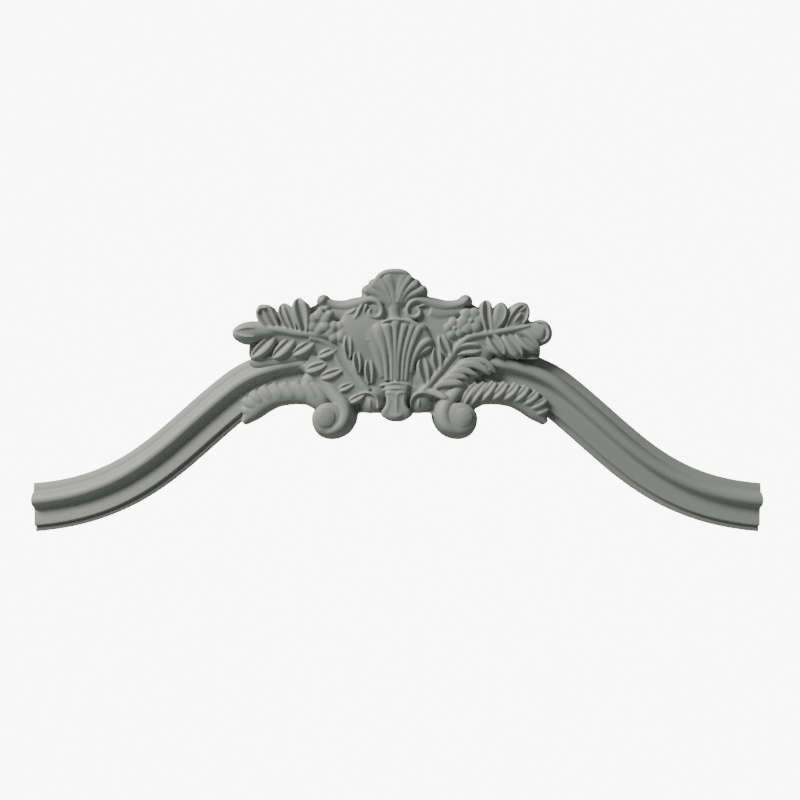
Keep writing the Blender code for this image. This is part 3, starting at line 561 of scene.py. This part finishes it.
print("sweeping the rails")
rail = {                           # metres, and the crest's steps where a comment says so
    "width": 0.060, "lip": 0.0042,                # the lip is the height of the outer edge
    "profile": ((0.0006, 0.0048), (0.0060, 0.0072), (0.0104, 0.0085), (0.0116, 0.0104), (0.0133, 0.0146),
                (0.0160, 0.0183), (0.0195, 0.0204), (0.0230, 0.0208), (0.0259, 0.0195), (0.0280, 0.0165),
                (0.0295, 0.0137), (0.0309, 0.0121), (0.0327, 0.0114), (0.0350, 0.0115), (0.0400, 0.0126),
                (0.0450, 0.0139),
                (0.0500, 0.0149), (0.0514, 0.0150)),         # across from the outer edge, and height
    "insideEdge": ((0.0520, 0.0143), (0.0532, 0.0108), (0.0538, 0.0102), (0.0546, 0.0104), (0.0556, 0.0113),
                   (0.0564, 0.0116), (0.0590, 0.0115), (0.0598, 0.0109), (0.0600, 0.0100)),
    "panelWidth": 0.902, "drop": 0.1535,          # between the middles of the cut ends, and down to them
    "buriedEnd": (94, 17.5), "start": (105, 17.5), "shoulder": (200, -13.2),    # steps
    "startPull": (20, 0), "shoulderPull": (-32, 25.2),      # steps, the handles of the upper curve
    "shoulderLean": (0.318, -0.250), "endLean": (-0.513, 0.0416),       # shares of the lower curve's run
    "upperPlaces": 40, "lowerPlaces": 130,
    "sharp": 35,                   # degrees, as on the crest
}


def railSection():
    points = [(0, 0), (0, rail["lip"]), *(tuple(spot) for spot in through(rail["profile"], 3)),
              *rail["insideEdge"], (rail["width"], 0)]
    return [(rail["width"] / 2 - across, height) for across, height in points]


def railPath():
    buried, start, shoulder = (Vector(rail[name]) * mm for name in ("buriedEnd", "start", "shoulder"))
    end = Vector((rail["panelWidth"] / 2, -rail["drop"]))
    run = end.x - shoulder.x
    upper = interpolate_bezier(start, start + Vector(rail["startPull"]) * mm,
                               shoulder + Vector(rail["shoulderPull"]) * mm, shoulder, rail["upperPlaces"])
    lower = interpolate_bezier(shoulder, shoulder + Vector(rail["shoulderLean"]) * run,
                               end + Vector(rail["endLean"]) * run, end, rail["lowerPlaces"])
    return [buried, *upper[:-1], *lower]


railSweep = bmesh.new()
line = railPath()
for side in (1, -1):
    places = [Matrix.Diagonal((side, 1, 1, 1)) @ Matrix.Translation((spot.x, spot.y, 0))
              @ Matrix.Rotation(heading(line, k), 4, "Z") @ Matrix.Diagonal((-1, 1, 1, 1))
              for k, spot in enumerate(line)]
    sweep(railSweep, railSection(), places)
bmesh.ops.rotate(railSweep, verts=railSweep.verts, matrix=Matrix.Rotation(math.pi / 2, 3, "X"))
bmesh.ops.recalc_face_normals(railSweep, faces=railSweep.faces)
railMesh = bpy.data.meshes.new("rails")
railSweep.to_mesh(railMesh)
railSweep.free()
railMesh.shade_smooth()
railMesh.set_sharp_from_angle(angle=math.radians(rail["sharp"]))
railPiece = newPiece("rails", railMesh)

print("priming")
primer = {
    "lit": "#A8ABA3", "settled": "#9DA098",       # grey primer, faintly green, and where it settled thicker
    "cloud": 90,                   # mm, the width of its clouds
    "stipple": 1.1, "stippleDepth": 0.00001,      # mm, the grain of the sprayed coat, and metres
    "bumpStrength": 0.5,
    "roughness": 0.55, "roughnessSpread": 0.06,
}


def primedFoam():
    # moulded polyurethane foam under a sprayed factory primer: dull grey, faintly clouded and grained, with
    # soft highlights. The grain is drawn coarser than a real coat's, so that it shows at all.
    made = bpy.data.materials.new("primedPolyurethane")
    made.use_nodes = True
    tree = made.node_tree
    shader = tree.nodes["Principled BSDF"]
    place = addNode(tree, "ShaderNodeTexCoord").outputs["Object"]
    cloud = addNode(tree, "ShaderNodeTexNoise", links={"Vector": place}, Scale=1000 / primer["cloud"], Detail=3)
    tone = addNode(tree, "ShaderNodeMix", {"data_type": "RGBA"}, {"Factor": cloud.outputs["Fac"]})
    tone.inputs[6].default_value = toLinear(primer["settled"])
    tone.inputs[7].default_value = toLinear(primer["lit"])
    sheen = addNode(tree, "ShaderNodeMapRange", links={"Value": cloud.outputs["Fac"]})
    sheen.inputs["To Min"].default_value = primer["roughness"] + primer["roughnessSpread"]
    sheen.inputs["To Max"].default_value = primer["roughness"] - primer["roughnessSpread"]
    grain = addNode(tree, "ShaderNodeTexNoise", links={"Vector": place}, Scale=1000 / primer["stipple"], Detail=1)
    bump = addNode(tree, "ShaderNodeBump", links={"Height": grain.outputs["Fac"]},
                   Strength=primer["bumpStrength"], Distance=primer["stippleDepth"])
    tree.links.new(tone.outputs[2], shader.inputs["Base Color"])
    tree.links.new(sheen.outputs["Result"], shader.inputs["Roughness"])
    tree.links.new(bump.outputs["Normal"], shader.inputs["Normal"])
    return made


finish = primedFoam()
for piece in (crestPiece, railPiece):
    piece.data.materials.clear()
    piece.data.materials.append(finish)
    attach(piece, "root")
    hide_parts(nodeName)

print("lighting the studio")
studio = {                         # metres
    "camera": (0.0035, -1.35, -0.020), "lens": 48.5,
    "fill": "#E8EEF0", "fillStrength": 0.19,
    "keyPlace": (-1.95, -1.25, 1.9), "keySize": 1.3, "keyPower": 121,
    "floor": "#E4E4E2", "floorHeight": -3.0, "floorSize": 9,            # sizes are half of a side
    "backdrop": "#F4F4F4", "backdropHeight": -0.02, "backdropDistance": 6.5, "backdropSize": 3.1,
    "backdropGlow": 9,
    "paperRoughness": 0.8,
}
camera = bpy.data.objects.new("camera", bpy.data.cameras.new("camera"))
camera.location = studio["camera"]
camera.rotation_euler = (math.radians(90), 0, 0)           # straight at the wall
camera.data.lens = studio["lens"]
bpy.context.scene.collection.objects.link(camera)
bpy.context.scene.camera = camera

world = bpy.data.worlds.new("studio")
bpy.context.scene.world = world
world.use_nodes = True
world.node_tree.nodes["Background"].inputs["Color"].default_value = toLinear(studio["fill"])
world.node_tree.nodes["Background"].inputs["Strength"].default_value = studio["fillStrength"]

key = bpy.data.objects.new("key", bpy.data.lights.new("key", "AREA"))      # a soft box, up and to the left
key.data.energy = studio["keyPower"]
key.data.size = studio["keySize"]
key.location = studio["keyPlace"]
key.rotation_euler = (-Vector(studio["keyPlace"])).to_track_quat("-Z", "Y").to_euler()
bpy.context.scene.collection.objects.link(key)


def stagePlane(name, size, height, depth, turn, colour, glow):
    plane = bmesh.new()
    bmesh.ops.create_grid(plane, x_segments=1, y_segments=1, size=size,
                          matrix=Matrix.Translation((0, depth, height)) @ Matrix.Rotation(turn, 4, "X"))
    planeMesh = bpy.data.meshes.new(name)
    plane.to_mesh(planeMesh)
    plane.free()
    painted = bpy.data.materials.new(name)
    painted.use_nodes = True
    shader = painted.node_tree.nodes["Principled BSDF"]
    shader.inputs["Base Color"].default_value = toLinear(colour)
    shader.inputs["Roughness"].default_value = studio["paperRoughness"]
    shader.inputs["Emission Color"].default_value = (1, 1, 1, 1)
    shader.inputs["Emission Strength"].default_value = glow
    planeMesh.materials.append(painted)
    planePiece = newPiece(name, planeMesh)
    planePiece.visible_diffuse = planePiece.visible_glossy = not glow      # lit paper lights nothing


stagePlane("paleFloor", studio["floorSize"], studio["floorHeight"], 0, 0, studio["floor"], 0)
stagePlane("litPaper", studio["backdropSize"], studio["backdropHeight"], studio["backdropDistance"],
           math.pi / 2, studio["backdrop"], studio["backdropGlow"])
